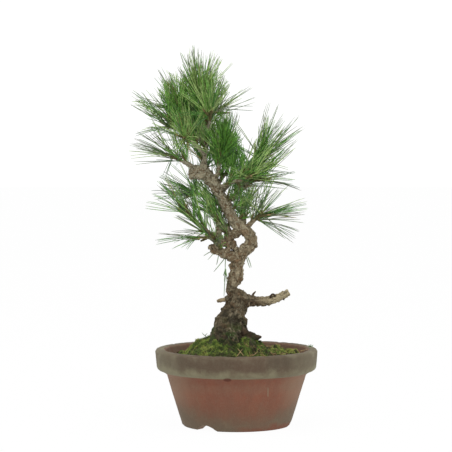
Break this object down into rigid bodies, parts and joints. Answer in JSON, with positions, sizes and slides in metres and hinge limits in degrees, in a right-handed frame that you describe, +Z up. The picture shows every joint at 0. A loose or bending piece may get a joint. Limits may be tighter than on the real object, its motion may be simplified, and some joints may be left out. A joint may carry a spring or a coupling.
{
  "type": "japanese black pine bonsai in a training pot",
  "caption": "Small black pine bonsai with a crooked trunk, a dead branch and tufts of long needles, in a round terracotta training pot with moss on its soil.",
  "frame": {"origin": "middle of the whole plant's width and depth, at the level that the pot stands on", "axes": "+Z up; -Y towards the side that the plant is looked at from; +X to the right seen from there"},
  "size_m": [0.1904, 0.1634, 0.3808],
  "materials": {
    "terracotta": "matte",
    "soil": "matte",
    "moss": "matte",
    "bark": "matte",
    "dead_wood": "matte",
    "needles": "satin"
  },
  "bodies": {
    "root": {"pot": "terracotta", "soil": "soil", "moss_mound": "moss", "moss_patch": "moss", "trunk": "bark", "root_spur": "dead_wood", "dead_branch_right": "dead_wood", "dead_stub_left": "dead_wood", "bough_lower_left": "bark", "bough_left_riser": "bark", "bough_inner_left": "bark", "bough_left_shoot": "bark", "bough_low_left": "bark", "bough_lower_right": "bark", "bough_right": "bark", "bough_right_mid": "bark", "bough_centre": "bark", "bough_front_right": "bark", "bough_upper_left": "bark", "bough_front_left": "bark", "bough_top_left": "bark", "bough_top_left_upper": "bark", "bough_top_right": "bark", "bough_front_top": "bark", "bough_back_top": "bark", "bough_back_right": "bark", "bough_back_left": "bark", "bough_back_low": "bark", "bough_back_mid": "bark", "foliage_apex": "needles", "foliage_mid_left": "needles", "foliage_right_upper": "needles", "foliage_lower_right": "needles", "foliage_lower_left": "needles", "foliage_low_left": "needles", "foliage_top_left": "needles", "foliage_top_left_upper": "needles", "foliage_top_right": "needles", "foliage_centre": "needles", "foliage_right_mid": "needles", "foliage_left_inner": "needles", "foliage_inner_back": "needles", "foliage_front_right": "needles", "foliage_front_left": "needles", "foliage_front_top": "needles", "foliage_back_top": "needles", "foliage_back_right": "needles", "foliage_back_left": "needles", "foliage_back_low": "needles", "foliage_back_mid": "needles"}
  },
  "joints": []
}
